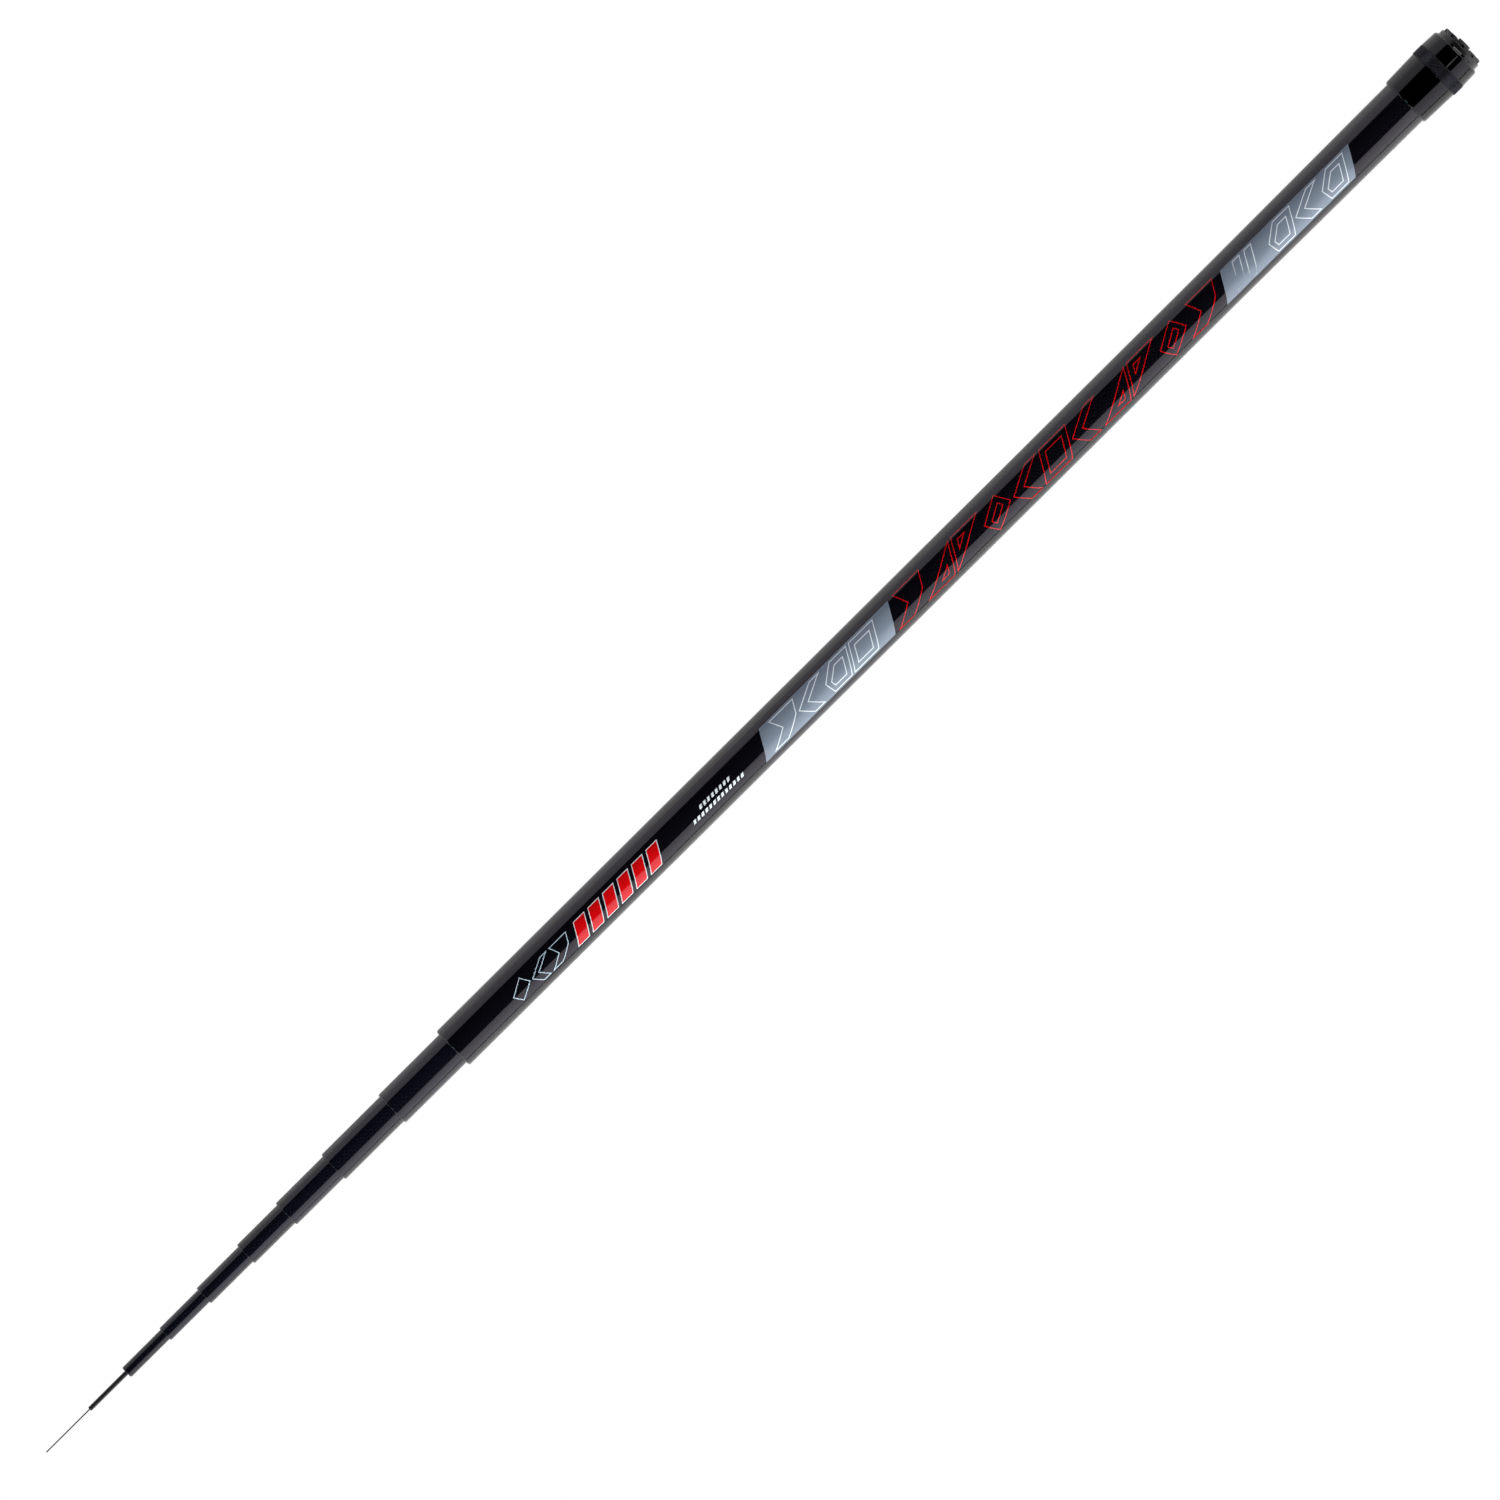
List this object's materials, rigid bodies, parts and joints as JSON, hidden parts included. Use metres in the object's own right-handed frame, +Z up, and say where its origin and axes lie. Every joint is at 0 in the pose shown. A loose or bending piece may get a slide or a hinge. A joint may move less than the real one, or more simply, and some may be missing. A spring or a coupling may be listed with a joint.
{
  "type": "telescopic fishing pole",
  "caption": "Slim telescopic carbon pole, part extended, with a screw-on butt cap, a knurled band and a castellated rubber bumper.",
  "frame": {"origin": "centre of the butt end face, on the flush boss of the rubber bumper", "axes": "+X along the pole towards the tip, +Z up through the printed side of the butt, +Y across"},
  "size_m": [0.9399, 0.0278, 0.0278],
  "materials": {
    "butt_lacquer": "black carbon blank under a clear gloss lacquer, with printed panels",
    "collar_gloss": "deep black gloss lacquer",
    "section_lacquer": "blue-black carbon under a clear gloss lacquer",
    "tip_carbon": "bare satin carbon rod",
    "black_anodised": "black anodised aluminium with a diamond knurl",
    "plain_aluminium": "turned aluminium",
    "bumper_rubber": "matt moulded rubber",
    "seal_rubber": "smooth black nitrile rubber",
    "cushion_foam": "closed-cell foam"
  },
  "bodies": {
    "butt": {"butt_tube": "butt_lacquer", "butt_collar": "collar_gloss", "thread_insert": "plain_aluminium"},
    "seal": {"seal_ring": "seal_rubber"},
    "cap": {"cap_plug": "black_anodised", "cap_sleeve": "collar_gloss", "bumper": "bumper_rubber", "stop_cushion": "cushion_foam"},
    "section_2": {"section_2": "section_lacquer"},
    "section_3": {"section_3": "section_lacquer"},
    "section_4": {"section_4": "section_lacquer"},
    "section_5": {"section_5": "section_lacquer"},
    "section_6": {"section_6": "section_lacquer"},
    "section_7": {"section_7": "section_lacquer"},
    "section_8": {"section_8": "section_lacquer"},
    "section_9": {"section_9": "section_lacquer"},
    "tip": {"tip_rod": "tip_carbon"}
  },
  "joints": [
    {"name": "cap_travel", "type": "slide", "parent": "butt", "child": "seal", "axis": [-1, 0, 0], "range_m": [0, 0.00825]},
    {"name": "cap_turn", "type": "hinge", "parent": "seal", "child": "cap", "pos_m": [0.02, 0, 0], "axis": [-1, 0, 0], "range_deg": [0, 1980]},
    {"name": "section_2_slide", "type": "slide", "parent": "butt", "child": "section_2", "axis": [1, 0, 0], "range_m": [-0.0359, 0.5024]},
    {"name": "section_3_slide", "type": "slide", "parent": "section_2", "child": "section_3", "axis": [1, 0, 0], "range_m": [-0.0342, 0.5166]},
    {"name": "section_4_slide", "type": "slide", "parent": "section_3", "child": "section_4", "axis": [1, 0, 0], "range_m": [-0.0268, 0.5365]},
    {"name": "section_5_slide", "type": "slide", "parent": "section_4", "child": "section_5", "axis": [1, 0, 0], "range_m": [-0.0223, 0.5535]},
    {"name": "section_6_slide", "type": "slide", "parent": "section_5", "child": "section_6", "axis": [1, 0, 0], "range_m": [-0.0232, 0.5641]},
    {"name": "section_7_slide", "type": "slide", "parent": "section_6", "child": "section_7", "axis": [1, 0, 0], "range_m": [-0.0211, 0.5777]},
    {"name": "section_8_slide", "type": "slide", "parent": "section_7", "child": "section_8", "axis": [1, 0, 0], "range_m": [-0.0211, 0.5902]},
    {"name": "section_9_slide", "type": "slide", "parent": "section_8", "child": "section_9", "axis": [1, 0, 0], "range_m": [-0.02, 0.6048]},
    {"name": "tip_slide", "type": "slide", "parent": "section_9", "child": "tip", "axis": [1, 0, 0], "range_m": [-0.0242, 0.6143]}
  ],
  "couplings": [
    {"joint": "cap_travel", "follows": "cap_turn", "m_per_rad": 0.00023873}
  ]
}
